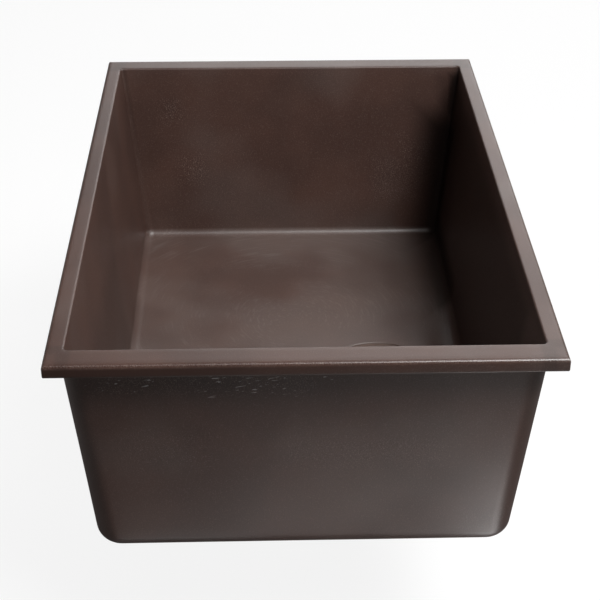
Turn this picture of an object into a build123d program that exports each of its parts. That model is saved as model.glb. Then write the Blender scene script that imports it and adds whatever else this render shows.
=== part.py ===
from build123d import *
import math
import os

# An undermount kitchen sink: a one-piece moulded composite bowl with its basket strainer and tailpiece.
# Sizes are in millimetres. X runs along the long side, Y towards the rear wall and Z up.
# The origin is the centre of the rim's top plane, which is bonded against the worktop's underside.

# Bowl, seen from above
bowl_length = 685.8
bowl_width = 457.2
side_overhang = 8.5
end_overhang = 17.5
wall = 8.5
rim_corner_radius = 3.0
outer_corner_radius = 24.0
inner_corner_radius = 12.0

# Bowl, seen in section
bowl_depth = 241.3
floor_thickness = 17.0
floor_fall = 7.0
rim_thickness = 12.7
outer_draft = 4.8
inner_draft = 5.6
rim_top_radius = 1.6
rim_under_radius = 1.2
rim_root_radius = 4.0
mouth_radius = 3.5
floor_radius = 10.0
outer_floor_radius = 20.0

# Waste outlet in the bowl's floor
drain_x = 16.0
drain_y = 92.0
outlet_radius = 44.45
recess_clearance = 1.0
recess_edge_radius = 0.8
dish_margin = 6.0
dish_flat = 0.6
boss_height = 5.0
boss_margin = 6.0
boss_edge_radius = 2.5

# Strainer body
flange_radius = 55.5
flange_thickness = 2.2
flange_edge_radius = 0.8
cup_wall = 3.5
cup_thread_radius = 43.0
mouth_roll = 2.5
ledge_width = 1.5
ledge_drop = 5.0
thread_tail = 6.5
seat_radius = 27.0
seat_thickness = 3.5
neck_radius = 23.8
neck_wall = 4.3
neck_length = 29.0
crossbar_drop = 9.5
crossbar_height = 3.5
crossbar_width = 2.6
crossbar_count = 4

# Clamping stack on the strainer's thread
seal_thickness = 0.8
gasket_thickness = 3.2
fibre_thickness = 1.0
stack_ring_clearance = 0.6
thread_clearance = 0.05
locknut_height = 11.0
locknut_wall = 8.0
locknut_flange_height = 2.5
lug_count = 8
lug_reach = 6.0
lug_width = 9.0

# Tailpiece and its coupling
tube_radius = 19.05
tube_wall = 1.2
tube_length = 101.6
tube_flange_radius = 22.8
tube_flange_thickness = 1.6
washer_thickness = 2.4
washer_clearance = 0.15
nut_overlap = 17.0
nut_wall = 4.2
nut_skirt = 3.0
nut_rib_count = 8
nut_rib_radius = 3.2
tube_clearance = 0.9

# Perforated basket
basket_clearance = 0.4
basket_wall = 0.9
basket_height = 27.0
basket_floor_radius = 29.0
basket_floor_bend = 4.0
side_hole_radius = 1.9
side_hole_count = 28
side_hole_rows = 3
side_hole_pitch = 6.2
floor_hole_radius = 2.1
floor_hole_pitch = 7.2
floor_hole_rings = 3

# Post, knob and rubber stopper
post_radius = 3.0
post_clearance = 0.08
collar_radius = 5.5
collar_height = 9.0
collar_foot = 2.0
collar_foot_width = 2.0
grip_ring_section = 1.2
grip_ring_height = 3.0
stopper_travel = 8.5
stopper_stop_gap = 0.3
knob_radius = 10.0
knob_height = 10.0
knob_rise = 6.0
knob_brim = 4.0
knob_brim_radius = 1.8
knob_neck_radius = 5.5
knob_socket = 7.0
stopper_radius = 25.0
stopper_thickness = 3.0
stopper_bevel = 1.5
plate_radius = 20.0
plate_thickness = 1.2
screw_radius = 2.5
small_washer_radius = 6.5
small_washer_thickness = 1.0
post_nut_flats = 8.0
post_nut_height = 4.0
post_tip = 1.5

# Heights that the pieces share, from the rim down
floor_z = floor_thickness - bowl_depth
drain_z = floor_z - floor_fall
flange_z = drain_z - flange_thickness
seat_recess_z = flange_z - seal_thickness
boss_z = -bowl_depth - boss_height
gasket_z = boss_z - gasket_thickness
fibre_z = gasket_z - fibre_thickness
locknut_z = fibre_z - locknut_height
thread_end_z = locknut_z - thread_tail
ledge_z = drain_z - ledge_drop
basket_floor_z = ledge_z - basket_height
collar_foot_z = basket_floor_z - collar_foot
plate_top_z = collar_foot_z - stopper_stop_gap - stopper_travel
stopper_top_z = plate_top_z - plate_thickness
stopper_seat_z = stopper_top_z - stopper_thickness
small_washer_z = stopper_seat_z - small_washer_thickness
post_nut_z = small_washer_z - post_nut_height
knob_top_z = drain_z + knob_rise
knob_z = knob_top_z - knob_height
seat_under_z = stopper_seat_z - seat_thickness
neck_end_z = seat_under_z - neck_length
tube_flange_z = neck_end_z - washer_thickness
tube_shoulder_z = tube_flange_z - tube_flange_thickness

# How closely a face or edge is matched when it is picked by its place
match_tolerance = 0.01

# Radii that the pieces share
recess_radius = flange_radius + recess_clearance
boss_radius = recess_radius + boss_margin
cup_bore_radius = cup_thread_radius - cup_wall
mouth_bore_radius = cup_bore_radius + ledge_width
neck_bore_radius = neck_radius - neck_wall
basket_radius = cup_bore_radius - basket_clearance
basket_lip_radius = mouth_bore_radius - basket_clearance
locknut_radius = boss_radius - boss_edge_radius
post_bore_radius = post_radius + post_clearance
collar_foot_radius = collar_radius + collar_foot_width

# Plans that the pieces share
shell_length = bowl_length - 2 * end_overhang
shell_width = bowl_width - 2 * side_overhang
mouth_length = shell_length - 2 * wall
mouth_width = shell_width - 2 * wall


def rounded_plan(length, width, radius, z):
    """A rounded rectangle lying level at the height z."""
    return Pos(0, 0, z) * RectangleRounded(length, width, radius)


def drafted_block(length, width, radius, draft, top, bottom):
    """A block that narrows downwards, given by its plan in the rim's top plane."""
    def plan(z):
        inset = -2 * z * math.tan(math.radians(draft))
        return rounded_plan(length - inset, width - inset, radius, z)
    return loft([plan(top), plan(bottom)], ruled=True)


def at_drain(shape):
    """Moves a shape from the origin's axis to the drain's axis."""
    return Pos(drain_x, drain_y, 0) * shape


def turned(*outline):
    """A solid turned about the drain's axis from (radius, height) points."""
    profile = make_face(Polyline(*outline, close=True))
    return revolve(Plane.XZ * profile, Axis.Z, 360)


def ring(inner, outer, bottom, top):
    """A flat ring or a straight tube about the drain's axis."""
    return turned((inner, bottom), (outer, bottom), (outer, top), (inner, top))


def ring_edges(shape, radius, z):
    """The circular edges of a shape that have this radius and height."""
    circles = shape.edges().filter_by(GeomType.CIRCLE)

    def matches(edge):
        return abs(edge.radius - radius) < match_tolerance and abs(edge.center().Z - z) < match_tolerance
    return [e for e in circles if matches(e)]


def level_edges(shape, z, length=math.inf, width=math.inf):
    """The edges that lie level at the height z, with their middles inside this plan."""
    def is_level(edge):
        box = edge.bounding_box()
        return abs(box.min.Z - z) < match_tolerance and abs(box.max.Z - z) < match_tolerance

    def is_inside(edge):
        middle = edge.center()
        return abs(middle.X) < length / 2 and abs(middle.Y) < width / 2
    return [e for e in shape.edges() if is_level(e) and is_inside(e)]


def on_axis_box(length, width, height):
    """A box that starts at the origin, runs outwards along X and stands on its base."""
    return Box(length, width, height, align=(Align.MIN, Align.CENTER, Align.MIN))


def around(shape, count, start=0.0):
    """Copies of a shape spaced evenly about the origin's axis."""
    return [Rot(0, 0, start + 360 * i / count) * shape for i in range(count)]


# Bowl: rim, drafted walls, a floor that falls to the outlet, and a thicker pad under the outlet

def make_rim():
    """The flat flange, square in plan, with softened edges."""
    plate = extrude(rounded_plan(bowl_length, bowl_width, rim_corner_radius, -rim_thickness), rim_thickness)
    plate = fillet(level_edges(plate, 0), rim_top_radius)
    return fillet(level_edges(plate, -rim_thickness), rim_under_radius)


def make_shell():
    """The bowl's outer form below the rim's top."""
    top = -rim_top_radius
    block = drafted_block(shell_length, shell_width, outer_corner_radius, outer_draft, top, -bowl_depth)
    return fillet(level_edges(block, -bowl_depth), outer_floor_radius)


def make_cavity():
    """The space inside the bowl, with its floor fillet and the shallow fall to the outlet."""
    block = drafted_block(mouth_length, mouth_width, inner_corner_radius, inner_draft, 0, floor_z)
    block = fillet(level_edges(block, floor_z), floor_radius)
    inset = 2 * (floor_radius - floor_z * math.tan(math.radians(inner_draft)))
    dish_radius = recess_radius + dish_margin
    dish_side = 2 * dish_radius + dish_flat
    high = rounded_plan(mouth_length - inset, mouth_width - inset, inner_corner_radius, floor_z)
    low = rounded_plan(dish_side, dish_side, dish_radius, drain_z)
    return block + loft([high, at_drain(low)], ruled=True)


def make_bowl():
    """The moulded bowl, with its outlet hole and the recess for the strainer's flange."""
    pad = ring(0, boss_radius, boss_z, -bowl_depth + boss_height)
    pad = fillet(ring_edges(pad, boss_radius, boss_z), boss_edge_radius)
    bowl = make_rim() + make_shell() + at_drain(pad)
    bowl = fillet(level_edges(bowl, -rim_thickness, shell_length, shell_width), rim_root_radius)
    bowl = bowl - make_cavity()
    bowl = fillet(level_edges(bowl, 0, shell_length, shell_width), mouth_radius)
    bowl = bowl - at_drain(ring(0, recess_radius, seat_recess_z, drain_z + floor_fall))
    bowl = bowl - at_drain(ring(0, outlet_radius, boss_z, seat_recess_z))
    return fillet(ring_edges(bowl, recess_radius, drain_z), recess_edge_radius)


# Strainer body: a moulded cup whose flange lies in the recess and whose thread hangs through the floor

def make_strainer_body():
    """The cup, its outlet neck and the crossbars that guard the neck."""
    cup = turned(
        (flange_radius, drain_z),
        (flange_radius, flange_z),
        (cup_thread_radius, flange_z),
        (cup_thread_radius, thread_end_z),
        (seat_radius + seat_thickness, seat_under_z),
        (neck_radius, seat_under_z),
        (neck_radius, neck_end_z),
        (neck_bore_radius, neck_end_z),
        (neck_bore_radius, stopper_seat_z),
        (seat_radius, stopper_seat_z),
        (cup_bore_radius, thread_end_z + seat_thickness),
        (cup_bore_radius, ledge_z),
        (mouth_bore_radius, ledge_z),
        (mouth_bore_radius, drain_z),
    )
    cup = fillet(ring_edges(cup, flange_radius, drain_z), flange_edge_radius)
    cup = fillet(ring_edges(cup, mouth_bore_radius, drain_z), mouth_roll)
    reach = neck_bore_radius + neck_wall / 2
    bar_z = stopper_seat_z - crossbar_drop - crossbar_height
    bar = Pos(0, 0, bar_z) * on_axis_box(reach, crossbar_width, crossbar_height)
    return cup + around(bar, crossbar_count)


# Clamping stack: seal, gasket, fibre washer and the lugged nut that draws the flange down

def make_flange_seal():
    """The foam seal between the flange and its recess."""
    return ring(outlet_radius, flange_radius, seat_recess_z, seat_recess_z + seal_thickness)


def make_gasket():
    """The thick rubber gasket under the bowl's pad."""
    return ring(cup_thread_radius + stack_ring_clearance, locknut_radius, gasket_z, boss_z)


def make_fibre_washer():
    """The fibre washer that lets the nut turn without dragging the rubber."""
    return ring(cup_thread_radius + stack_ring_clearance, locknut_radius, fibre_z, gasket_z)


def make_locknut():
    """The ring nut, with a flat foot against the washer and lugs for a spanner."""
    bore = cup_thread_radius + thread_clearance
    outer = bore + locknut_wall
    foot = ring(bore, locknut_radius, fibre_z - locknut_flange_height, fibre_z)
    barrel = ring(bore, outer, locknut_z, fibre_z)
    root = outer - locknut_wall / 2
    lug = Pos(root, 0, locknut_z) * on_axis_box(outer + lug_reach - root, lug_width, locknut_height)
    return foot + barrel + around(lug, lug_count)


# Tailpiece: a flanged tube drawn up to the neck by a slip nut over a soft washer

def make_tailpiece_washer():
    """The soft washer between the neck's end and the tube's flange."""
    return ring(tube_radius + washer_clearance, tube_flange_radius, tube_flange_z, neck_end_z)


def make_tailpiece():
    """The tube with its rolled flange."""
    bore = tube_radius - tube_wall
    tube = ring(bore, tube_radius, tube_flange_z - tube_length, tube_flange_z)
    return tube + ring(bore, tube_flange_radius, tube_shoulder_z, tube_flange_z)


def make_coupling_nut():
    """The slip nut: a bore over the neck's thread, a shoulder under the tube's flange and grip ribs."""
    bore = neck_radius + thread_clearance
    outer = bore + nut_wall
    top = neck_end_z + nut_overlap
    bottom = tube_shoulder_z - nut_skirt
    shell = turned(
        (bore, top),
        (outer, top),
        (outer, tube_shoulder_z),
        (outer - nut_skirt, bottom),
        (tube_radius + tube_clearance, bottom),
        (tube_radius + tube_clearance, tube_shoulder_z),
        (bore, tube_shoulder_z),
    )
    rib = extrude(Pos(outer, 0, tube_shoulder_z) * Circle(nut_rib_radius), top - tube_shoulder_z)
    return shell + around(rib, nut_rib_count)


# Basket: a pressed, perforated cup that hangs by its lip and lifts out, with the collar that guides the post

def basket_wall_radius(z):
    """The radius of the basket's outer wall at the height z."""
    share = (z - basket_floor_z) / basket_height
    return basket_floor_radius + share * (basket_radius - basket_floor_radius)


def make_side_holes():
    """The drain holes of the basket's wall, each row turned half a step from the last."""
    step = 360 / side_hole_count
    holes = []
    for row in range(side_hole_rows):
        z = ledge_z - (row + 1) * side_hole_pitch
        drill = Plane.YZ * Circle(side_hole_radius)
        drill = extrude(Pos(basket_wall_radius(z) - 2 * basket_wall, 0, z) * drill, 4 * basket_wall)
        holes += around(drill, side_hole_count, row * step / 2)
    return holes


def make_floor_holes():
    """The drain holes of the basket's floor, in rings about the collar."""
    holes = []
    for number in range(floor_hole_rings):
        radius = basket_floor_radius - basket_floor_bend - number * floor_hole_pitch
        count = int(2 * math.pi * radius / floor_hole_pitch)
        drill = Pos(radius, 0, basket_floor_z) * Circle(floor_hole_radius)
        holes += around(extrude(drill, basket_wall), count)
    return holes


def make_basket():
    """The perforated cup with its turned-out lip."""
    inner_floor_z = basket_floor_z + basket_wall
    cup = turned(
        (collar_radius, basket_floor_z),
        (basket_floor_radius, basket_floor_z),
        (basket_radius, ledge_z),
        (basket_lip_radius, ledge_z),
        (basket_lip_radius, ledge_z + basket_wall),
        (basket_radius - basket_wall, ledge_z + basket_wall),
        (basket_floor_radius - basket_wall, inner_floor_z),
        (collar_radius, inner_floor_z),
    )
    cup = fillet(ring_edges(cup, basket_floor_radius, basket_floor_z), basket_floor_bend + basket_wall)
    cup = fillet(ring_edges(cup, basket_floor_radius - basket_wall, inner_floor_z), basket_floor_bend)
    return cup - make_side_holes() - make_floor_holes()


def make_collar():
    """The turned collar riveted through the basket's floor, grooved inside for the grip ring."""
    collar = turned(
        (post_bore_radius, collar_foot_z),
        (collar_foot_radius, collar_foot_z),
        (collar_foot_radius, basket_floor_z),
        (collar_radius, basket_floor_z),
        (collar_radius, basket_floor_z + collar_height),
        (post_bore_radius, basket_floor_z + collar_height),
    )
    return collar - make_grip_ring()


def make_grip_ring():
    """The rubber ring that grips the post, so that the stopper stays where it is put."""
    outer = post_bore_radius + grip_ring_section
    bottom = basket_floor_z + grip_ring_height
    return ring(post_bore_radius, outer, bottom, bottom + 2 * grip_ring_section)


# Stopper: post, knob, backing plate, rubber disc, washer and nut, which slide together in the collar

def make_post():
    """The steel post, turned down below its shoulder for the plate, the rubber and the nut."""
    return turned(
        (0, post_nut_z - post_tip),
        (screw_radius, post_nut_z - post_tip),
        (screw_radius, plate_top_z),
        (post_radius, plate_top_z),
        (post_radius, knob_z + knob_socket),
        (0, knob_z + knob_socket),
    )


def make_knob():
    """The pull knob pressed onto the post."""
    brim_z = knob_top_z - knob_brim
    knob = turned(
        (0, knob_z),
        (knob_neck_radius, knob_z),
        (knob_neck_radius, brim_z - (knob_radius - knob_neck_radius) / 2),
        (knob_radius, brim_z),
        (knob_radius, knob_top_z),
        (0, knob_top_z),
    )
    knob = fillet(ring_edges(knob, knob_radius, knob_top_z), knob_brim_radius)
    return knob - ring(0, post_radius, knob_z, knob_z + knob_socket)


def make_stopper_plate():
    """The steel plate that backs the rubber."""
    return ring(screw_radius, plate_radius, stopper_top_z, plate_top_z)


def make_stopper():
    """The rubber disc that closes the outlet, bevelled on its upper edge."""
    return turned(
        (screw_radius, stopper_seat_z),
        (stopper_radius, stopper_seat_z),
        (stopper_radius, stopper_top_z - stopper_bevel),
        (stopper_radius - stopper_bevel, stopper_top_z),
        (screw_radius, stopper_top_z),
    )


def make_stopper_washer():
    """The small washer under the rubber."""
    return ring(screw_radius, small_washer_radius, small_washer_z, stopper_seat_z)


def make_stopper_nut():
    """The hexagon nut that holds the plate and the rubber on the post."""
    hexagon = Pos(0, 0, post_nut_z) * RegularPolygon(post_nut_flats / 2, 6, major_radius=False)
    return extrude(hexagon, post_nut_height) - ring(0, screw_radius, post_nut_z, small_washer_z)


os.makedirs("parts", exist_ok=True)
export_step(make_bowl(), "parts/sink_bowl.step")
drain_pieces = {
    "strainer_body": make_strainer_body,
    "flange_seal": make_flange_seal,
    "rubber_gasket": make_gasket,
    "fibre_washer": make_fibre_washer,
    "locknut": make_locknut,
    "tailpiece_washer": make_tailpiece_washer,
    "tailpiece": make_tailpiece,
    "coupling_nut": make_coupling_nut,
    "basket": make_basket,
    "basket_collar": make_collar,
    "grip_ring": make_grip_ring,
    "stopper_post": make_post,
    "stopper_knob": make_knob,
    "stopper_plate": make_stopper_plate,
    "stopper_disc": make_stopper,
    "stopper_washer": make_stopper_washer,
    "stopper_nut": make_stopper_nut,
}
for name, make in drain_pieces.items():
    export_step(at_drain(make()), f"parts/{name}.step")
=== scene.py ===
import math

import bmesh
import bpy
from mathutils import Matrix, Vector, noise


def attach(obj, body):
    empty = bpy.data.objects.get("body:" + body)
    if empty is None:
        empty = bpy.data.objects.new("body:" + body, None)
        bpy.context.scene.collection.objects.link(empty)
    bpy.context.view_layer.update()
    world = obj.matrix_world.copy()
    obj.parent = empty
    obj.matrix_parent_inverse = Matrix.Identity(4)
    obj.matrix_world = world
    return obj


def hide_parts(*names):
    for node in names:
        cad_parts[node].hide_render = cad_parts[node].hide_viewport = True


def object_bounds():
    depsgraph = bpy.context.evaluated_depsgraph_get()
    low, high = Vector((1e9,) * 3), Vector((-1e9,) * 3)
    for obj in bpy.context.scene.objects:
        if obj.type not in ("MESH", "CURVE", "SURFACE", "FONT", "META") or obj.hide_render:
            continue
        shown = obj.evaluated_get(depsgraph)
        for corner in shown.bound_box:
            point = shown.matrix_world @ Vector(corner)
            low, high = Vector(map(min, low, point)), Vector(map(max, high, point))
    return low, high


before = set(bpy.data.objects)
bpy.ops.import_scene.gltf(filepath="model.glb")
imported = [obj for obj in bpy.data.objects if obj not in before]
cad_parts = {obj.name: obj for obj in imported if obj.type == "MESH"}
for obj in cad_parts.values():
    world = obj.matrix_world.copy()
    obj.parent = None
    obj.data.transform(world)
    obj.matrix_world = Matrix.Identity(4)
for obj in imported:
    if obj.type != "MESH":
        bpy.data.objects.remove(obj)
cad_low, cad_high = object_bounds()

# Camera
# The photograph looks along the bowl's length from above one short end. The place, turn and lens were solved from
# the rim's four corners and from how the long walls draw together.
camera_place = (1.36573, -0.03670, 0.69177)
camera_heading = math.radians(88.303)
camera_tilt = math.radians(90 - 31.537)
camera_roll = math.radians(0.180)
photo_width = 600
focal_length_in_pixels = 1436.17
sensor_width = 36.0

camera = bpy.data.objects.new("camera", bpy.data.cameras.new("camera"))
bpy.context.scene.collection.objects.link(camera)
camera.data.sensor_width = sensor_width
camera.data.lens = focal_length_in_pixels / photo_width * sensor_width
camera.matrix_world = (
    Matrix.Translation(camera_place)
    @ Matrix.Rotation(camera_heading, 4, "Z")
    @ Matrix.Rotation(camera_tilt, 4, "X")
    @ Matrix.Rotation(camera_roll, 4, "Z")
)
bpy.context.scene.camera = camera
bpy.context.scene.view_settings.view_transform = "Standard"

# Bowl
# One casting of quartz-filled acrylic resin, poured between an outer and an inner mould: a flat rim, drafted walls
# and a floor that falls to the outlet. The worktop is bonded on the rim's top. Sizes are in millimetres.
millimetre = 0.001
rim_half_length = 342.9
rim_half_width = 228.6
rim_corner = 1.6
rim_thickness = 12.7
rim_top_round = 3.8
rim_under_round = 1.2
rim_root_round = 4.0
shell_half_length = 325.4
shell_half_width = 220.1
shell_corner = 24.0
shell_draft = math.radians(4.8)
shell_depth = 241.3
shell_floor_round = 20.0
mouth_half_length = 316.9
mouth_half_width = 211.6
mouth_corner = 3.5
foot_corner = 11.0
least_corner = 0.6
mouth_draft = math.radians(5.6)
mouth_round = 2.2
floor_height = -224.3
corner_widening = (foot_corner - mouth_corner) / -floor_height
floor_round = 10.0
drain_centre = (16.0, 92.0)
drain_height = -231.3
outlet_radius = 44.45
recess_radius = 56.5
recess_floor = -234.3
recess_edge_round = 1.8
dish_radius = 62.5
pad_radius = 62.5
pad_depth = 246.3
pad_edge_round = 2.5
casting_wave_height = 0.22
casting_wave_length = 95.0
casting_wave_fade = 40.0
sharp_edge_angle = math.radians(30)

side_steps_long = 22
side_steps_short = 15
corner_steps = 12
steps_a_quarter = side_steps_long + side_steps_short + corner_steps
wall_steps = 18
pad_edge_steps = 5
underside_steps = 14
shell_floor_steps = 10
rim_root_steps = 5
rim_ledge_steps = 1
rim_under_steps = 4
rim_face_steps = 2
rim_round_steps = 6
rim_top_steps = 3
mouth_steps = 7
floor_round_steps = 9
floor_steps = 26
recess_edge_steps = 4


def four_quarters(quarter, centre, height):
    """A closed loop of points from the quarter that runs from the X side's middle towards the Y side's middle."""
    start, end = quarter[:-1], quarter[:0:-1]
    ring = start + [(-x, y) for x, y in end] + [(-x, -y) for x, y in start] + [(x, -y) for x, y in end]
    return [Vector((centre[0] + x, centre[1] + y, height)) for x, y in ring]


def rectangle_loop(half_length, half_width, corner, height):
    """A level loop round a rectangle with rounded corners."""
    flat_x, flat_y = half_length - corner, half_width - corner
    quarter = [(half_length, flat_y * i / side_steps_short) for i in range(side_steps_short)]
    for i in range(corner_steps):
        turn = math.pi / 2 * i / corner_steps
        quarter.append((flat_x + corner * math.cos(turn), flat_y + corner * math.sin(turn)))
    quarter += [(flat_x * (1 - i / side_steps_long), half_width) for i in range(side_steps_long + 1)]
    return four_quarters(quarter, (0, 0), height)


def circle_loop(radius, height):
    """A level loop round the drain's axis, with as many points as a rectangle's loop."""
    turns = [math.pi / 2 * i / steps_a_quarter for i in range(steps_a_quarter + 1)]
    return four_quarters([(radius * math.cos(t), radius * math.sin(t)) for t in turns], drain_centre, height)


def loops_between(first, last, count, fall=lambda share: share):
    """The loops between two others, where fall says how the height goes from the first to the last."""
    loops = []
    for i in range(1, count + 1):
        share = i / (count + 1)
        loop = [a.lerp(b, share) for a, b in zip(first, last)]
        for point, a, b in zip(loop, first, last):
            point.z = a.z + (b.z - a.z) * fall(share)
        loops.append(loop)
    return loops


def rounded_edge(centre, height, radius, start, end, steps):
    """Points (distance, height) along the arc of an edge seen in section, between two angles in degrees."""
    turns = [math.radians(start + (end - start) * i / steps) for i in range(steps + 1)]
    return [(centre + radius * math.cos(t), height + radius * math.sin(t)) for t in turns]


def edge_loops(half_length, half_width, corner, draft, widening, section):
    """Rectangle loops that follow a section, given as (how far outside the rectangle, height)."""
    loops = []
    for out, z in section:
        beyond_wall = out - z * math.tan(draft)
        corner_here = max(least_corner, corner - z * widening + beyond_wall)
        loops.append(rectangle_loop(half_length + out, half_width + out, corner_here, z))
    return loops


def wall_loops(half_length, half_width, corner, draft, widening, start, end, steps):
    """Loops down or up a drafted wall, without its two ends. Its corners widen with depth by a share of it."""
    loops = []
    for i in range(1, steps):
        z = start + (end - start) * i / steps
        drawn_in = -z * math.tan(draft)
        loops.append(rectangle_loop(half_length - drawn_in, half_width - drawn_in, corner - z * widening, z))
    return loops


def fillet_centre(draft, height, radius, side):
    """The centre (distance, height) of a fillet on a drafted wall, which lies inside (-1) or outside (+1) it."""
    return height * math.tan(draft) + side * radius / math.cos(draft), height


def mesh_of_loops(name, loops):
    """A mesh of four-sided faces between neighbouring loops, turned outwards. The last loop meets the first."""
    mesh = bmesh.new()
    rows = [[mesh.verts.new(point * millimetre) for point in loop] for loop in loops]
    for one, other in zip(rows, rows[1:] + rows[:1]):
        for i in range(len(one)):
            j = (i + 1) % len(one)
            mesh.faces.new((one[i], one[j], other[j], other[i]))
    bmesh.ops.recalc_face_normals(mesh, faces=mesh.faces)
    data = bpy.data.meshes.new(name)
    mesh.to_mesh(data)
    mesh.free()
    return data


def smooth_between_edges(data):
    """Shades a mesh smooth, apart from its sharp edges."""
    data.polygons.foreach_set("use_smooth", [True] * len(data.polygons))
    data.set_sharp_from_angle(angle=sharp_edge_angle)


def piece_from_mesh(data):
    """An object for a finished mesh, at the origin."""
    piece = bpy.data.objects.new(data.name, data)
    bpy.context.scene.collection.objects.link(piece)
    return piece


def bowl_loops():
    """The bowl's loops in order: outlet, pad, underside, outer wall, rim, inner wall, floor, dish and recess."""
    outer = (shell_half_length, shell_half_width, shell_corner, shell_draft, 0.0)
    inner = (mouth_half_length, mouth_half_width, mouth_corner, mouth_draft, corner_widening)
    rim = (rim_half_length, rim_half_width, rim_corner, 0.0, 0.0)
    draft_out, draft_in = math.degrees(shell_draft), math.degrees(mouth_draft)

    loops = [circle_loop(outlet_radius, -pad_depth)]
    loops += [circle_loop(r, z) for r, z in rounded_edge(
        pad_radius - pad_edge_round, -pad_depth + pad_edge_round, pad_edge_round, -90, 0, pad_edge_steps)]
    loops.append(circle_loop(pad_radius, -shell_depth))

    centre, z = fillet_centre(shell_draft, -shell_depth + shell_floor_round, shell_floor_round, -1)
    under = edge_loops(*outer, rounded_edge(centre, z, shell_floor_round, -90, -draft_out, shell_floor_steps))
    loops += loops_between(loops[-1], under[0], underside_steps) + under
    centre, z = fillet_centre(shell_draft, -rim_thickness - rim_root_round, rim_root_round, 1)
    loops += wall_loops(*outer, under[-1][0].z, z, wall_steps)
    loops += edge_loops(*outer, rounded_edge(centre, z, rim_root_round, 180 - draft_out, 90, rim_root_steps))

    under_edge = edge_loops(*rim, rounded_edge(
        -rim_under_round, -rim_thickness + rim_under_round, rim_under_round, -90, 0, rim_under_steps))
    top_edge = edge_loops(*rim, rounded_edge(
        -rim_top_round, -rim_top_round, rim_top_round, 0, 90, rim_round_steps))
    loops += loops_between(loops[-1], under_edge[0], rim_ledge_steps) + under_edge
    loops += loops_between(under_edge[-1], top_edge[0], rim_face_steps) + top_edge

    centre, z = fillet_centre(mouth_draft, -mouth_round, mouth_round, 1)
    mouth = edge_loops(*inner, rounded_edge(centre, z, mouth_round, 90, 180 - draft_in, mouth_steps))
    loops += loops_between(top_edge[-1], mouth[0], rim_top_steps) + mouth

    centre, z = fillet_centre(mouth_draft, floor_height + floor_round, floor_round, -1)
    foot = edge_loops(*inner, rounded_edge(centre, z, floor_round, -draft_in, -90, floor_round_steps))
    loops += wall_loops(*inner, mouth[-1][0].z, foot[0][0].z, wall_steps) + foot

    dish = circle_loop(dish_radius, drain_height)
    loops += loops_between(foot[-1], dish, floor_steps, lambda share: share * share) + [dish]
    loops += [circle_loop(r, z) for r, z in rounded_edge(
        recess_radius + recess_edge_round, drain_height - recess_edge_round, recess_edge_round, 90, 180,
        recess_edge_steps)]
    loops += [circle_loop(recess_radius, recess_floor), circle_loop(outlet_radius, recess_floor)]
    return loops


def wave_casting(data):
    """Gives the walls and the floor the slight unevenness of a casting, and leaves the rim and the outlet true."""
    drain = Vector((*drain_centre, 0))
    normals = [vertex.normal.copy() for vertex in data.vertices]
    for vertex, normal in zip(data.vertices, normals):
        place = vertex.co / millimetre
        below_rim = min(1.0, max(0.0, (-place.z - rim_thickness - rim_root_round) / casting_wave_fade))
        from_drain = min(1.0, max(0.0, ((place - drain).xy.length - dish_radius) / casting_wave_fade))
        wave = noise.noise(place / casting_wave_length) * casting_wave_height
        vertex.co += normal * wave * below_rim * from_drain * millimetre


bowl_data = mesh_of_loops("bowl", bowl_loops())
wave_casting(bowl_data)
smooth_between_edges(bowl_data)
bowl = piece_from_mesh(bowl_data)


def hex_colour(code):
    """The linear colour of an sRGB hex value, with full opacity."""
    parts = [int(code[i:i + 2], 16) / 255 for i in (1, 3, 5)]
    return tuple(p / 12.92 if p <= 0.04045 else ((p + 0.055) / 1.055) ** 2.4 for p in parts) + (1.0,)


def add(tree, kind, inputs=None, output=0, **settings):
    """Adds a node with its settings and inputs, each a value or the output that feeds it, and gives its output."""
    made = tree.nodes.new(kind)
    for name, value in settings.items():
        setattr(made, name, value)
    for name, value in (inputs or {}).items():
        if isinstance(value, bpy.types.NodeSocket):
            tree.links.new(value, made.inputs[name])
        else:
            made.inputs[name].default_value = value
    return made if output is None else made.outputs[output]


def new_finish(name, metallic=0.0, ior=None):
    """A material, its nodes, its Principled shader, and the Object coordinates that its patterns read."""
    material = bpy.data.materials.new(name)
    material.use_nodes = True
    tree = material.node_tree
    shader = next(n for n in tree.nodes if n.type == "BSDF_PRINCIPLED")
    shader.inputs["Metallic"].default_value = metallic
    if ior:
        shader.inputs["IOR"].default_value = ior
    return material, tree, shader, add(tree, "ShaderNodeTexCoord", output="Object")


smooth = {"interpolation_type": "SMOOTHSTEP"}


def inside_box(tree, place, centre, half, edge):
    """1 inside a box given in metres, and 0 further than an edge's width outside it."""
    from_centre = add(tree, "ShaderNodeVectorMath", {0: place, 1: centre}, operation="SUBTRACT")
    apart = add(tree, "ShaderNodeVectorMath", {0: from_centre}, operation="ABSOLUTE")
    beyond = add(tree, "ShaderNodeVectorMath", {0: apart, 1: half}, operation="SUBTRACT")
    sides = add(tree, "ShaderNodeSeparateXYZ", {0: beyond}).node.outputs
    far = add(tree, "ShaderNodeMath", {0: sides["X"], 1: sides["Y"]}, operation="MAXIMUM")
    far = add(tree, "ShaderNodeMath", {0: far, 1: sides["Z"]}, operation="MAXIMUM")
    return add(tree, "ShaderNodeMapRange", {
        "Value": far, "From Min": 0.0, "From Max": edge, "To Min": 1.0, "To Max": 0.0}, **smooth)


def deepest_patch(tree, place, patches):
    """The largest of several soft-edged boxes, each given as (depth, centre, half size, edge's width)."""
    deepest = 0.0
    for depth, *box in patches:
        patch = add(tree, "ShaderNodeMath", {0: inside_box(tree, place, *box), 1: depth}, operation="MULTIPLY")
        deepest = add(tree, "ShaderNodeMath", {0: deepest, 1: patch}, operation="MAXIMUM")
    return deepest


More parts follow.
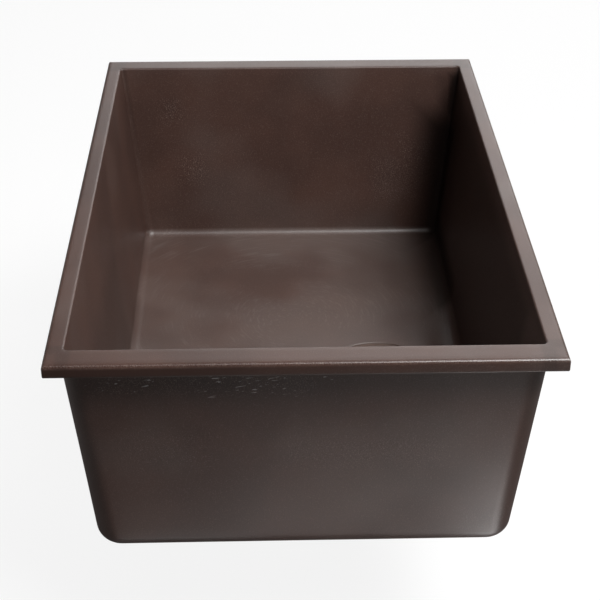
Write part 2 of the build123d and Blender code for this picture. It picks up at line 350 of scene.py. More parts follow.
def gaps_to_inner_walls(tree, place):
    """How far a point lies from the nearer inner wall along X and the one along Y, in metres, inwards."""
    apart = add(tree, "ShaderNodeVectorMath", {0: place}, operation="ABSOLUTE")
    sides = add(tree, "ShaderNodeSeparateXYZ", {0: apart}).node.outputs
    drawn_in = add(tree, "ShaderNodeMath", {0: sides["Z"], 1: math.tan(mouth_draft)}, operation="MULTIPLY")
    gaps = []
    for side, half in (("X", mouth_half_length), ("Y", mouth_half_width)):
        outward = add(tree, "ShaderNodeMath", {0: sides[side], 1: drawn_in}, operation="ADD")
        gaps.append(add(tree, "ShaderNodeMath", {0: half * millimetre, 1: outward}, operation="SUBTRACT"))
    return gaps


# Quartz-filled acrylic, cast against a satin mould: a dark espresso resin body with fine lighter and darker quartz
# grains just under a satin skin, faintly clouded where the filler has settled. Real grains are 0.1 to 0.6 mm across;
# here they are drawn about 1 mm to show. Ranges say between which values of a pattern its colour comes in.
resin_body = "#46312A"
resin_deep = "#3E2B25"
mottles_per_metre = 11.0
mottle_range = {"From Min": 0.35, "From Max": 0.65}
resin_cloud = "#625A56"
clouds_per_metre = 6.5
cloud_range = {"From Min": 0.46, "From Max": 0.66, "To Max": 0.18}
grain_light = "#7A6C65"
# The dark grains' colour, which is also the colour of the painted shade in the inner corners and on the left wall.
dark_grain_and_shade = "#211511"
grains_per_metre = 900.0
light_grain_range = {"From Min": 0.54, "From Max": 0.70}
dark_grain_range = {"From Min": 0.44, "From Max": 0.30}
grain_depth = {"To Min": 0.22, "To Max": 0.60}
skin_roughness = {"From Min": 0.3, "From Max": 0.7, "To Min": 0.35, "To Max": 0.47}
relief_strength = {"To Min": 0.22, "To Max": 1.0}
relief_depth = 0.0002

# The marks of use on it, and painted shade. The floor is hazed and wiped in arcs. Painted shade darkens the inner
# corners, a painted shadow lies on the lower left wall, and a deeper painted shade, which also dulls the shine, lies
# in the far right corner, on the right wall and along its foot. Places are in metres, and a patch is (depth, centre,
# half size, width of its soft edge).
haze_pale = "#8F8783"
floor_wear_box = ((0.0, 0.0, -0.2262), (0.297, 0.193, 0.0085), 0.003)
haze_range = {"From Min": 0.35, "From Max": 0.65, "To Min": 0.045, "To Max": 0.085}
swirl_shift = (0.09, 0.0, 0.0)
swirl_frequency = (4.5, 330.0, 0.0)
swirl_range = {"From Min": 0.50, "From Max": 0.72, "To Max": 0.10}
rubs_per_metre = 13.0
rub_range = {"From Min": 0.42, "From Max": 0.60}
# Painted shade that darkens the inner corners.
corner_shade_range = {"From Min": 0.0090, "From Max": 0.0035, "To Max": 0.32}
inner_side_range = {"From Min": -0.005, "From Max": -0.002}
# A painted shadow on the lower left wall, laid in with the corner shade.
left_wall_shadow_patches = ((0.50, (0.13, -0.200, -0.150), (0.13, 0.02, 0.035), 0.055),)
# Painted shade, near black, in the far right corner, on the right wall and along its foot; it also lowers the shine.
right_side_shade_colour = "#100C0B"
right_side_shade_patches = (
    (0.85, (-0.305, 0.210, -0.165), (0.016, 0.018, 0.080), 0.050),
    (0.70, (-0.318, 0.213, -0.070), (0.010, 0.008, 0.055), 0.012),
    (0.55, (-0.040, 0.212, -0.132), (0.260, 0.006, 0.100), 0.030),
    (0.80, (-0.215, 0.203, -0.224), (0.085, 0.006, 0.012), 0.050),
)
skin_shine = 0.5
shade_shine_loss = 0.42

# The rim's top edge is worn to its grains and polished, its front face is darkened by painted shade, most to the
# left, pale scuffs lie under it, and some spots are pitted: two on each side of the far wall, and four on the front.
rim_middle_box = ((0.0, 0.0, 0.0), (0.3400, 0.2257, 0.05), 0.0012)
rim_top_box = ((0.0, 0.0, 0.0), (0.5, 0.5, 0.0018), 0.0012)
worn_edge_depth = 0.4
edge_polish = 0.12
# Painted shade on the rim's front face, darker to the left.
face_shade_brown = "#2C170F"
rim_face_box = ((0.3450, 0.0, -0.0085), (0.0040, 0.5, 0.0035), 0.0020)
rim_face_left_box = ((0.0, -0.250, 0.0), (1.0, 0.050, 1.0), 0.42)
rim_face_shade_depth = 0.85
scuff_pale = "#A9A29E"
scuffed_box = ((0.323, -0.085, -0.037), (0.010, 0.105, 0.008), 0.008)
scuff_slant = 0.20
scuff_size = (0.012, 0.0080, 0.0019)
scuff_range = {"From Min": 0.63, "From Max": 0.70}
scuff_groups_per_metre = 42.0
scuff_group_range = {"From Min": 0.48, "From Max": 0.60}
pitted_patches = (
    (1.0, (-0.302, 0.163, -0.120), (0.020, 0.008, 0.012), 0.026),
    (1.0, (-0.300, 0.138, -0.152), (0.020, 0.014, 0.014), 0.030),
    (1.0, (-0.311, -0.150, -0.056), (0.020, 0.006, 0.006), 0.016),
    (1.0, (-0.304, -0.127, -0.134), (0.020, 0.008, 0.008), 0.018),
    (0.9, (0.323, -0.090, -0.034), (0.010, 0.090, 0.004), 0.016),
    (0.5, (0.315, 0.055, -0.118), (0.010, 0.060, 0.006), 0.022),
    (0.5, (0.308, 0.175, -0.204), (0.010, 0.018, 0.006), 0.016),
    (0.4, (0.316, -0.128, -0.112), (0.010, 0.030, 0.008), 0.024),
)


def shade_inside(tree, place):
    """How much painted shade lies in the corners and on the left wall, and how much on the right side. None outside.
    """
    gaps = gaps_to_inner_walls(tree, place)
    further = add(tree, "ShaderNodeMath", {0: gaps[0], 1: gaps[1]}, operation="MAXIMUM")
    from_corner = add(tree, "ShaderNodeMath", {0: further}, operation="ABSOLUTE")
    # Painted shade: darker close to the inner corners.
    painted_shade = add(tree, "ShaderNodeMapRange", {"Value": from_corner, **corner_shade_range}, **smooth)
    nearer = add(tree, "ShaderNodeMath", {0: gaps[0], 1: gaps[1]}, operation="MINIMUM")
    inner_side = add(tree, "ShaderNodeMapRange", {"Value": nearer, **inner_side_range})
    # A painted shadow on the left wall and painted shade on the right side, both only inside the walls.
    left_wall_shadow, right_side_shade = (
        add(tree, "ShaderNodeMath", {0: deepest_patch(tree, place, patches), 1: inner_side}, operation="MULTIPLY")
        for patches in (left_wall_shadow_patches, right_side_shade_patches))
    painted_shade = add(tree, "ShaderNodeMath", {0: painted_shade, 1: left_wall_shadow}, operation="MAXIMUM")
    return painted_shade, right_side_shade


def floor_marks(tree, place, cloud):
    """How much haze and how much of the wiping arcs lie on the floor."""
    worn_floor = inside_box(tree, place, *floor_wear_box)
    haze = add(tree, "ShaderNodeMapRange", {"Value": cloud, **haze_range}, **smooth)
    haze = add(tree, "ShaderNodeMath", {0: haze, 1: worn_floor}, operation="MULTIPLY")

    moved = add(tree, "ShaderNodeMapping", {"Vector": place, "Location": swirl_shift})
    sides = add(tree, "ShaderNodeSeparateXYZ", {0: moved}).node.outputs
    turn = add(tree, "ShaderNodeMath", {0: sides["Y"], 1: sides["X"]}, operation="ARCTAN2")
    level = add(tree, "ShaderNodeCombineXYZ", {"X": sides["X"], "Y": sides["Y"]})
    distance = add(tree, "ShaderNodeVectorMath", {0: level}, "Value", operation="LENGTH")
    polar = add(tree, "ShaderNodeCombineXYZ", {"X": turn, "Y": distance})
    polar = add(tree, "ShaderNodeVectorMath", {0: polar, 1: swirl_frequency}, operation="MULTIPLY")
    swirl = add(tree, "ShaderNodeTexNoise", {"Vector": polar, "Scale": 1.0, "Detail": 2.0})
    swirl = add(tree, "ShaderNodeMapRange", {"Value": swirl, **swirl_range}, **smooth)
    rubbed = add(tree, "ShaderNodeTexNoise", {"Vector": place, "Scale": rubs_per_metre, "Detail": 2.0})
    rubbed = add(tree, "ShaderNodeMapRange", {"Value": rubbed, **rub_range}, **smooth)
    for mask in (rubbed, worn_floor):
        swirl = add(tree, "ShaderNodeMath", {0: swirl, 1: mask}, operation="MULTIPLY")
    return haze, swirl


def rim_edge_and_face_shade(tree, place):
    """Where the rim's top edge is, and how much painted shade darkens its front face."""
    off_middle = add(tree, "ShaderNodeMath", {0: 1.0, 1: inside_box(tree, place, *rim_middle_box)},
                     operation="SUBTRACT")
    edge = add(tree, "ShaderNodeMath", {0: off_middle, 1: inside_box(tree, place, *rim_top_box)},
               operation="MULTIPLY")
    # Painted shade on the front face, fading out towards the right.
    face = inside_box(tree, place, *rim_face_box)
    for share in (inside_box(tree, place, *rim_face_left_box), rim_face_shade_depth):
        face = add(tree, "ShaderNodeMath", {0: face, 1: share}, operation="MULTIPLY")
    return edge, face


def scuff_marks(tree, place):
    """How much of the pale scuffs lies under the front of the rim."""
    turned = add(tree, "ShaderNodeMapping", {
        "Vector": place, "Rotation": (scuff_slant, 0.0, 0.0), "Scale": scuff_size}, vector_type="TEXTURE")
    scuffs = add(tree, "ShaderNodeTexNoise", {"Vector": turned, "Scale": 1.0, "Detail": 1.0, "Distortion": 0.5})
    scuffs = add(tree, "ShaderNodeMapRange", {"Value": scuffs, **scuff_range}, **smooth)
    groups = add(tree, "ShaderNodeTexNoise", {"Vector": place, "Scale": scuff_groups_per_metre, "Detail": 1.0})
    groups = add(tree, "ShaderNodeMapRange", {"Value": groups, **scuff_group_range}, **smooth)
    for mask in (groups, inside_box(tree, place, *scuffed_box)):
        scuffs = add(tree, "ShaderNodeMath", {0: scuffs, 1: mask}, operation="MULTIPLY")
    return scuffs


def quartz_acrylic():
    """The bowl's finish: its resin, with clouds, grains, marks and painted shade laid over it one after the other."""
    material, tree, shader, place = new_finish("quartz_filled_acrylic_cast", ior=1.5)
    mottle = add(tree, "ShaderNodeTexNoise", {"Vector": place, "Scale": mottles_per_metre, "Detail": 3.0})
    mottle = add(tree, "ShaderNodeMapRange", {"Value": mottle, **mottle_range}, **smooth)
    cloud = add(tree, "ShaderNodeTexNoise", {"Vector": place, "Scale": clouds_per_metre, "Detail": 2.0})
    clouded = add(tree, "ShaderNodeMapRange", {"Value": cloud, **cloud_range}, **smooth)
    painted_shade, right_side_shade = shade_inside(tree, place)
    haze, swirl = floor_marks(tree, place, cloud)
    edge, face = rim_edge_and_face_shade(tree, place)

    grains = add(tree, "ShaderNodeTexNoise", {"Vector": place, "Scale": grains_per_metre, "Detail": 2.0})
    pitted = deepest_patch(tree, place, pitted_patches)
    worn = add(tree, "ShaderNodeMath", {0: edge, 1: worn_edge_depth}, operation="MULTIPLY")
    worn = add(tree, "ShaderNodeMath", {0: pitted, 1: worn}, operation="MAXIMUM")
    shown_grains = []
    for grain_range, showing in ((light_grain_range, worn), (dark_grain_range, pitted)):
        depth = add(tree, "ShaderNodeMapRange", {"Value": showing, **grain_depth})
        share = add(tree, "ShaderNodeMapRange", {"Value": grains, **grain_range}, **smooth)
        shown_grains.append(add(tree, "ShaderNodeMath", {0: share, 1: depth}, operation="MULTIPLY"))

    colour = hex_colour(resin_deep)
    # Of these, the corner and wall shade, the face's shade and the right side's shade are painted shade; the rest are
    # the resin's own colours and marks.
    for share, code in (
            (mottle, resin_body), (clouded, resin_cloud), (painted_shade, dark_grain_and_shade), (haze, haze_pale),
            (swirl, haze_pale), (shown_grains[0], grain_light), (shown_grains[1], dark_grain_and_shade),
            (face, face_shade_brown), (scuff_marks(tree, place), scuff_pale), (right_side_shade, right_side_shade_colour)):
        colour = add(tree, "ShaderNodeMix", {0: share, 6: colour, 7: hex_colour(code)}, 2, data_type="RGBA")
    tree.links.new(colour, shader.inputs["Base Color"])

    # The shine drops where the painted shade on the right side lies.
    shine = add(tree, "ShaderNodeMath", {0: right_side_shade, 1: -shade_shine_loss, 2: skin_shine}, operation="MULTIPLY_ADD")
    tree.links.new(shine, shader.inputs["Specular IOR Level"])
    rough = add(tree, "ShaderNodeMapRange", {"Value": grains, **skin_roughness})
    rough = add(tree, "ShaderNodeMath", {0: edge, 1: -edge_polish, 2: rough}, operation="MULTIPLY_ADD")
    tree.links.new(rough, shader.inputs["Roughness"])
    strength = add(tree, "ShaderNodeMapRange", {"Value": pitted, **relief_strength})
    bump = add(tree, "ShaderNodeBump", {"Height": grains, "Strength": strength, "Distance": relief_depth})
    tree.links.new(bump, shader.inputs["Normal"])
    return material


bowl.data.materials.append(quartz_acrylic())
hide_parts("sink_bowl")
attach(bowl, "sink")

# Strainer body
# The strainer's cup, with its flange in the bowl's recess, its threads and its neck, is moulded in one piece from
# glass-filled polypropylene, coloured to match the bowl. Both threads stay free at their ends and carry the nuts.
cup_thread_radius = 43.0
cup_thread_start, cup_thread_end = -267.2, -262.6
cup_thread_pitch = 2.3
neck_thread_radius = 23.8
neck_thread_start, neck_thread_end = -293.0, -282.8
neck_thread_pitch = 2.2
thread_ridge = 0.75
thread_ridge_sides = 4
thread_points_a_turn = 60

# Glass-filled polypropylene, injection moulded: a satin brown with a fine moulded grain and faint, drawn-out flow
# marks. The mould's grain is 0.15 mm in reality; here it is drawn about 0.7 mm.
polymer_body = "#4A3931"
polymer_flow = "#57453C"
polymer_flow_per_metre = (30.0, 30.0, 9.0)
polymer_flow_range = {"From Min": 0.40, "From Max": 0.66}
polymer_grains_per_metre = 1400.0
polymer_roughness = {"To Min": 0.36, "To Max": 0.52}
polymer_relief = {"Strength": 0.3, "Distance": 0.0001}


def filled_polypropylene():
    """The strainer body's finish."""
    material, tree, shader, place = new_finish("filled_polypropylene_moulded", ior=1.49)
    drawn = add(tree, "ShaderNodeMapping", {"Vector": place, "Scale": polymer_flow_per_metre})
    flow = add(tree, "ShaderNodeTexNoise", {"Vector": drawn, "Scale": 1.0, "Detail": 4.0, "Distortion": 1.2})
    share = add(tree, "ShaderNodeMapRange", {"Value": flow, **polymer_flow_range}, **smooth)
    colour = add(tree, "ShaderNodeMix", {
        0: share, 6: hex_colour(polymer_body), 7: hex_colour(polymer_flow)}, 2, data_type="RGBA")
    tree.links.new(colour, shader.inputs["Base Color"])
    grain = add(tree, "ShaderNodeTexNoise", {"Vector": place, "Scale": polymer_grains_per_metre, "Detail": 1.0})
    rough = add(tree, "ShaderNodeMapRange", {"Value": grain, **polymer_roughness})
    tree.links.new(rough, shader.inputs["Roughness"])
    bump = add(tree, "ShaderNodeBump", {"Height": grain, **polymer_relief})
    tree.links.new(bump, shader.inputs["Normal"])
    return material


def give_finish(material, *nodes):
    """Puts a finish on CAD nodes."""
    for name in nodes:
        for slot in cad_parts[name].material_slots:
            slot.material = material


def thread_tree(material):
    """Geometry nodes for a ridge that winds up a cylinder, with its sizes as inputs in metres."""
    tree = bpy.data.node_groups.new("thread_ridge", "GeometryNodeTree")
    sizes = {}
    for name in ("Turns", "Radius", "Height", "Ridge"):
        sizes[name] = tree.interface.new_socket(name, in_out="INPUT", socket_type="NodeSocketFloat").identifier
    tree.interface.new_socket("Geometry", in_out="OUTPUT", socket_type="NodeSocketGeometry")
    given = add(tree, "NodeGroupInput").node.outputs
    path = add(tree, "GeometryNodeCurveSpiral", {
        "Resolution": thread_points_a_turn, "Rotations": given["Turns"], "Start Radius": given["Radius"],
        "End Radius": given["Radius"], "Height": given["Height"]})
    upright = add(tree, "GeometryNodeSetCurveNormal", {"Curve": path}, mode="Z_UP")
    section = add(tree, "GeometryNodeCurvePrimitiveCircle", {
        "Resolution": thread_ridge_sides, "Radius": given["Ridge"]})
    ridge = add(tree, "GeometryNodeCurveToMesh", {
        "Curve": upright, "Profile Curve": section, "Fill Caps": True})
    solid = add(tree, "GeometryNodeRealizeInstances", {0: ridge})
    coloured = add(tree, "GeometryNodeSetMaterial", {"Geometry": solid, "Material": material})
    add(tree, "NodeGroupOutput", {"Geometry": coloured}, None)
    return tree, sizes


def thread(name, tree, sizes, radius, start, end, pitch):
    """A free thread round the drain's axis, between two heights in millimetres."""
    carrier = piece_from_mesh(bpy.data.meshes.new(name + "_empty"))
    winding = carrier.modifiers.new("winding", "NODES")
    winding.node_group = tree
    values = {"Turns": (end - start) / pitch, "Radius": radius * millimetre,
              "Height": (end - start) * millimetre, "Ridge": thread_ridge * millimetre}
    for label, value in values.items():
        winding[sizes[label]] = value
    evaluated = carrier.evaluated_get(bpy.context.evaluated_depsgraph_get())
    data = bpy.data.meshes.new_from_object(evaluated)
    data.name = name
    bpy.data.objects.remove(carrier)
    data.transform(Matrix.Translation(Vector((*drain_centre, start)) * millimetre))
    ridge = piece_from_mesh(data)
    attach(ridge, "sink")


polymer = filled_polypropylene()
give_finish(polymer, "strainer_body")
winding_tree, winding_sizes = thread_tree(polymer)
thread("cup_thread", winding_tree, winding_sizes, cup_thread_radius, cup_thread_start, cup_thread_end,
       cup_thread_pitch)
thread("neck_thread", winding_tree, winding_sizes, neck_thread_radius, neck_thread_start, neck_thread_end,
       neck_thread_pitch)

# Clamping stack
# A foam seal under the flange, and under the bowl's pad a thick rubber gasket, a fibre washer that lets the nut slip,
# and the lugged locknut that draws the strainer down. All are loose parts held by the nut.
foam_grey = "#9B9893"
foam_cell = "#77746F"
foam_cells_per_metre = 1100.0
foam_cell_range = {"From Min": 0.15, "From Max": 0.7}
foam_roughness = 0.92
foam_relief = {"Strength": 0.6, "Distance": 0.0003}
rubber_black = "#232324"
rubber_bloom = "#3A3A3B"
fibre_red = "#96483A"
fibre_dark = "#753327"
nylon_black = "#262627"
nylon_scuff = "#424243"
bloom_range = {"From Min": 0.4, "From Max": 0.65}
scuffed_range = {"From Min": 0.55, "From Max": 0.8}
times_finer = 14
roughness_spread = 0.08
moulded_relief_strength = 0.4


def patterned(name, first, second, colour_range, per_metre, stretch, roughness, ior, relief):
    """A finish of two colours in a noise pattern, whose roughness and relief follow a finer one."""
    material, tree, shader, place = new_finish(name, ior=ior)
    drawn = add(tree, "ShaderNodeMapping", {"Vector": place, "Scale": stretch})
    pattern = add(tree, "ShaderNodeTexNoise", {"Vector": drawn, "Scale": per_metre, "Detail": 4.0})
    share = add(tree, "ShaderNodeMapRange", {"Value": pattern, **colour_range}, **smooth)
    colour = add(tree, "ShaderNodeMix", {
        0: share, 6: hex_colour(first), 7: hex_colour(second)}, 2, data_type="RGBA")
    tree.links.new(colour, shader.inputs["Base Color"])
    grain = add(tree, "ShaderNodeTexNoise", {"Vector": drawn, "Scale": per_metre * times_finer, "Detail": 2.0})
    rough = add(tree, "ShaderNodeMapRange", {
        "Value": grain, "To Min": roughness - roughness_spread, "To Max": roughness + roughness_spread})
    tree.links.new(rough, shader.inputs["Roughness"])
    bump = add(tree, "ShaderNodeBump", {
        "Height": grain, "Strength": moulded_relief_strength, "Distance": relief})
    tree.links.new(bump, shader.inputs["Normal"])
    return material


# Closed-cell polyethylene foam, die-cut from sheet: dull grey with cells 0.4 mm across, drawn about 0.9 mm.
def cut_foam():
    """The flange seal's finish."""
    material, tree, shader, place = new_finish("polyethylene_foam_die_cut", ior=1.45)
    cells = add(tree, "ShaderNodeTexVoronoi", {"Vector": place, "Scale": foam_cells_per_metre}, "Distance")
    share = add(tree, "ShaderNodeMapRange", {"Value": cells, **foam_cell_range})
    colour = add(tree, "ShaderNodeMix", {
        0: share, 6: hex_colour(foam_cell), 7: hex_colour(foam_grey)}, 2, data_type="RGBA")
    tree.links.new(colour, shader.inputs["Base Color"])
    shader.inputs["Roughness"].default_value = foam_roughness
    bump = add(tree, "ShaderNodeBump", {"Height": cells, **foam_relief})
    tree.links.new(bump, shader.inputs["Normal"])
    return material


# Moulded EPDM rubber: near-black and dull, with a slight grey bloom.
moulded_rubber = patterned(
    "epdm_rubber_moulded", rubber_black, rubber_bloom, bloom_range, per_metre=60.0, stretch=(1, 1, 1),
    roughness=0.62, ior=1.52, relief=0.0001)
# Vulcanised fibre, punched from sheet: brick red with darker, drawn-out fibres about 1 mm wide.
punched_fibre = patterned(
    "vulcanised_fibre_punched", fibre_red, fibre_dark, bloom_range, per_metre=160.0, stretch=(1, 5, 1),
    roughness=0.72, ior=1.5, relief=0.00012)
# Moulded nylon 66: satin black with grey scuffs where the lugs have been handled.
moulded_nylon = patterned(
    "nylon_66_moulded", nylon_black, nylon_scuff, scuffed_range, per_metre=90.0, stretch=(1, 1, 1),
    roughness=0.42, ior=1.53, relief=0.00008)

give_finish(cut_foam(), "flange_seal")
give_finish(moulded_rubber, "rubber_gasket")
give_finish(punched_fibre, "fibre_washer")
give_finish(moulded_nylon, "locknut")

# Tailpiece
# A flanged tube of thin drawn brass hangs from the neck in a slip nut, with a soft washer between. The tube and the
# nut are chrome-plated.
polythene_white = "#DAD7D0"
polythene_shade = "#CBC7BE"
chrome_tint = "#CFD0D1"
chrome_stain = "#BDBDBB"
metal_mark_range = {"From Min": 0.5, "From Max": 0.7}
ring_roughness_share = 0.6
ring_relief_strength = 0.35


def around_axis(tree, place, per_metre):
    """Coordinates that don't change round the drain's axis: the distance from it and the height, scaled."""
    flat = add(tree, "ShaderNodeVectorMath", {
        0: place, 1: (*(side * millimetre for side in drain_centre), 0.0)}, operation="SUBTRACT")
    parts = add(tree, "ShaderNodeSeparateXYZ", {0: flat}).node.outputs
    level = add(tree, "ShaderNodeCombineXYZ", {"X": parts["X"], "Y": parts["Y"]})
    distance = add(tree, "ShaderNodeVectorMath", {0: level}, "Value", operation="LENGTH")
    both = add(tree, "ShaderNodeCombineXYZ", {"X": distance, "Z": parts["Z"]})
    return add(tree, "ShaderNodeVectorMath", {0: both, 1: (per_metre, 0.0, per_metre)}, operation="MULTIPLY")


def metal(name, colour, dull_colour, roughness, dull_roughness, rings_per_metre, marks_per_metre, relief):
    """A metal finish with fine rings round the drain's axis and cloudy, duller marks."""
    material, tree, shader, place = new_finish(name, metallic=1.0)
    marks = add(tree, "ShaderNodeTexNoise", {"Vector": place, "Scale": marks_per_metre, "Detail": 5.0})
    share = add(tree, "ShaderNodeMapRange", {"Value": marks, **metal_mark_range}, **smooth)
    tint = add(tree, "ShaderNodeMix", {
        0: share, 6: hex_colour(colour), 7: hex_colour(dull_colour)}, 2, data_type="RGBA")
    tree.links.new(tint, shader.inputs["Base Color"])
    rings = add(tree, "ShaderNodeTexNoise", {
        "Vector": around_axis(tree, place, rings_per_metre), "Scale": 1.0, "Detail": 3.0})
    rough = add(tree, "ShaderNodeMapRange", {"Value": share, "To Min": roughness, "To Max": dull_roughness})
    rough = add(tree, "ShaderNodeMath", {0: rings, 1: roughness * ring_roughness_share, 2: rough},
                operation="MULTIPLY_ADD")
    tree.links.new(rough, shader.inputs["Roughness"])
    bump = add(tree, "ShaderNodeBump", {"Height": rings, "Strength": ring_relief_strength, "Distance": relief})
    tree.links.new(bump, shader.inputs["Normal"])
    return material


# Chrome plate on polished brass: bright and slightly blue, with very fine polishing lines round the tube and faint
# dried water marks that dull it. The lines are 0.02 mm apart in reality and are drawn about 0.5 mm.
plated_brass = metal(
    "chrome_plated_brass", chrome_tint, chrome_stain, roughness=0.10, dull_roughness=0.20,
    rings_per_metre=2000.0, marks_per_metre=70.0, relief=0.00002)
# Low-density polythene, moulded: milky white and waxy.
soft_polythene = patterned(
    "polythene_moulded", polythene_white, polythene_shade, bloom_range, per_metre=80.0, stretch=(1, 1, 1),
    roughness=0.42, ior=1.51, relief=0.00004)

give_finish(soft_polythene, "tailpiece_washer")
give_finish(plated_brass, "tailpiece", "coupling_nut")

# Basket
# A cup pressed and punched from thin 304 stainless sheet, and a turned collar riveted through its floor. A rubber
# ring inside the collar grips the stopper's post.
steel_tint = "#C3C1BD"
steel_dull = "#ABA9A5"

# Stainless steel, spun after pressing: a warm grey with brushed rings about 0.4 mm apart.
brushed_steel = metal(
    "stainless_steel_brushed", steel_tint, steel_dull, roughness=0.24, dull_roughness=0.36,
    rings_per_metre=1600.0, marks_per_metre=90.0, relief=0.00004)
give_finish(brushed_steel, "basket", "basket_collar")
give_finish(moulded_rubber, "grip_ring")

# Stopper
# A turned post with a knob on top, a pressed steel plate and a rubber disc below, held by a washer and a nut on the
# post's tip. The disc closes the outlet, and the collar's ring holds the post up when it is pulled.
turned_tint = "#CCCAC6"
turned_dull = "#B7B4AF"

# Stainless steel, turned and polished: bright, with fine tool rings about 0.3 mm apart.
turned_steel = metal(
    "stainless_steel_turned", turned_tint, turned_dull, roughness=0.14, dull_roughness=0.22,
    rings_per_metre=3000.0, marks_per_metre=120.0, relief=0.00003)
give_finish(turned_steel, "stopper_post", "stopper_knob", "stopper_washer", "stopper_nut")
give_finish(brushed_steel, "stopper_plate")
give_finish(moulded_rubber, "stopper_disc")

# Studio
# A pale floor just under the tailpiece's end and a pale sweep behind it, under a dim ceiling; the floor keeps a weak
# shadow. A large softbox hangs over the front right and a thin strip over the front. Weaker ones stand behind and
# beside the sink, and small ones lie low in front of the near wall and face up.
floor_gap = 0.0004
floor_size = 12.0
floor_glow = 0.88
floor_glow_mirrored = 0.06
floor_pale = "#F2F2F2"
floor_grey = "#4E4E4E"
sweep_top = math.sin(math.radians(20))
ceiling_start = math.sin(math.radians(32))
ceiling_share = 0.03
horizon_share = 0.35
horizon_top = math.sin(math.radians(6))
horizon_end = math.sin(math.radians(18))
fill_share = 0.10
sweep_sides = (("X", -0.2, -0.6), ("Y", -0.40, 0.0), ("Y", 0.50, 0.20))  # (axis, where it starts, where it is full)

floor_mesh = bpy.data.meshes.new("studio_floor")
half = floor_size / 2
floor_mesh.from_pydata(
    [(x, y, cad_low.z - floor_gap) for x, y in ((-half, -half), (half, -half), (half, half), (-half, half))],
    [], [(0, 1, 2, 3)])
studio_floor = piece_from_mesh(floor_mesh)

# Matte studio paint: almost white and glowing to the camera, and dark grey to mirrored and scattered light, so that
# it doesn't light the sink's underside.
floor_paint = bpy.data.materials.new("floor_paint")
floor_paint.use_nodes = True
tree = floor_paint.node_tree
tree.nodes.clear()
rays = add(tree, "ShaderNodeLightPath").node.outputs
pale = add(tree, "ShaderNodeMix", {
    0: rays["Is Camera Ray"], 6: hex_colour(floor_grey), 7: hex_colour(floor_pale)}, 2, data_type="RGBA")
matte = add(tree, "ShaderNodeBsdfDiffuse", {"Color": pale})
glow = add(tree, "ShaderNodeEmission", {"Color": hex_colour("#FFFFFF"), "Strength": 1.0})
seen = add(tree, "ShaderNodeMath", {
    0: rays["Is Glossy Ray"], 1: rays["Is Transmission Ray"]}, operation="MAXIMUM")
seen = add(tree, "ShaderNodeMath", {0: seen, 1: floor_glow_mirrored}, operation="MULTIPLY")
seen = add(tree, "ShaderNodeMix", {0: rays["Is Camera Ray"], 2: seen, 3: floor_glow})
add(tree, "ShaderNodeOutputMaterial", {
    "Surface": add(tree, "ShaderNodeMixShader", {0: seen, 1: matte, 2: glow})}, None)
studio_floor.data.materials.append(floor_paint)


def softbox(name, place, target, width, height, brightness):
    """A rectangular white lamp that faces its target and doesn't show to the camera. Brightness 1 shows as white."""
    lamp = bpy.data.lights.new(name, "AREA")
    lamp.shape, lamp.size, lamp.size_y = "RECTANGLE", width, height
    lamp.energy = math.pi * width * height * brightness
    made = bpy.data.objects.new(name, lamp)
    bpy.context.scene.collection.objects.link(made)
    made.location = place
    made.rotation_euler = (Vector(target) - Vector(place)).to_track_quat("-Z", "Y").to_euler()
    made.visible_camera = False


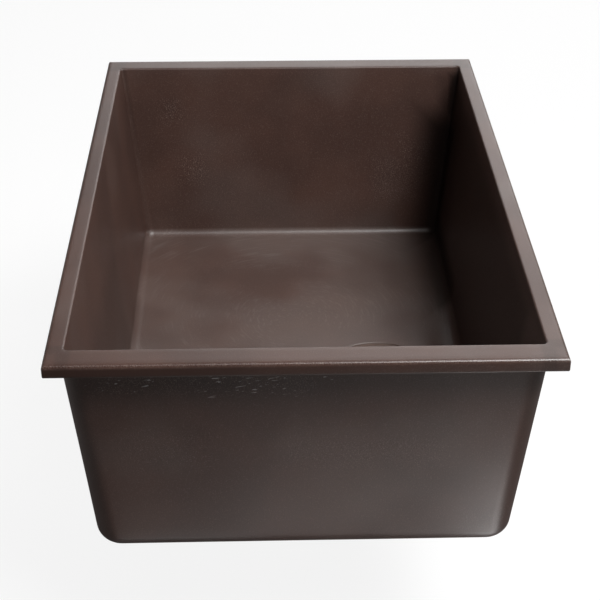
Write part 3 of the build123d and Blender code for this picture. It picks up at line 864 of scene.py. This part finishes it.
# Each lamp has its name, place, target, width, height and brightness.
for lamp in (
        ("key_over_front_right", (1.0, 1.05, 2.1), (0.2, 0, -0.15), 1.8, 1.0, 19.3),
        ("strip_over_front", (1.3, -0.1, 2.1), (0.3, -0.1, 0), 1.3, 0.19, 6.6),
        ("over_back_right", (-0.6, 0.95, 2.2), (-0.1, 0, -0.15), 1.4, 0.5, 3),
        ("high_behind", (-2.2, 0.7, 1.9), (0, 0.3, -0.05), 1.6, 0.9, 2.4),
        ("low_behind", (-2.5, 0.15, 0.9), (0, 0.1, -0.05), 1.3, 0.6, 2.5),
        ("low_back_right", (-2.4, 1.2, 0.8), (0, 0, 0), 1.0, 0.6, 3.5),
        ("low_front_right", (0.42, 0.25, -0.40), (0.42, 0.25, 1.0), 0.17, 0.12, 5.2),
        ("low_front_inner_right", (0.45, 0.14, -0.40), (0.45, 0.14, 1.0), 0.14, 0.09, 1.3),
        ("low_front_middle", (0.475, 0.065, -0.40), (0.475, 0.065, 1.0), 0.06, 0.25, 3.1),
        ("low_front_left", (0.41, -0.13, -0.40), (0.41, -0.13, 1.0), 0.06, 0.16, 1.8),
        ("beside_right", (0.5, 1.3, -0.15), (0.1, 0.2, -0.15), 1.1, 0.5, 0.8),
        ("beside_left", (0.2, -1.1, -0.1), (0.0, -0.2, -0.15), 0.8, 0.4, 2.2)):
    softbox(*lamp)

# The sweep and the dim ceiling. The camera sees plain white, mirrored light sees the sweep in full, and scattered
# light gets a small share of it.
world = bpy.data.worlds.new("studio")
world.use_nodes = True
tree = world.node_tree
tree.nodes.clear()
rays = add(tree, "ShaderNodeLightPath").node.outputs
towards = add(tree, "ShaderNodeSeparateXYZ", {
    0: add(tree, "ShaderNodeTexCoord", output="Generated")}).node.outputs
sweep = add(tree, "ShaderNodeMapRange", {
    "Value": towards["Z"], "From Min": sweep_top, "From Max": ceiling_start, "To Min": 1.0, "To Max": 0.0}, **smooth)
for side, none, full in sweep_sides:
    share = add(tree, "ShaderNodeMapRange", {
        "Value": towards[side], "From Min": none, "From Max": full}, **smooth)
    sweep = add(tree, "ShaderNodeMath", {0: sweep, 1: share}, operation="MULTIPLY")
horizon = add(tree, "ShaderNodeMapRange", {
    "Value": towards["Z"], "From Min": horizon_top, "From Max": horizon_end,
    "To Min": horizon_share, "To Max": ceiling_share}, **smooth)
sweep = add(tree, "ShaderNodeMath", {0: sweep, 1: horizon}, operation="MAXIMUM")
fill = add(tree, "ShaderNodeMath", {0: sweep, 1: fill_share}, operation="MULTIPLY")
mirrored = add(tree, "ShaderNodeMath", {
    0: rays["Is Glossy Ray"], 1: rays["Is Transmission Ray"]}, operation="MAXIMUM")
lighting = add(tree, "ShaderNodeMix", {0: mirrored, 2: fill, 3: sweep})
strength = add(tree, "ShaderNodeMix", {0: rays["Is Camera Ray"], 2: lighting, 3: 1.0})
white = add(tree, "ShaderNodeBackground", {"Color": hex_colour("#FFFFFF"), "Strength": strength})
add(tree, "ShaderNodeOutputWorld", {"Surface": white}, None)
bpy.context.scene.world = world
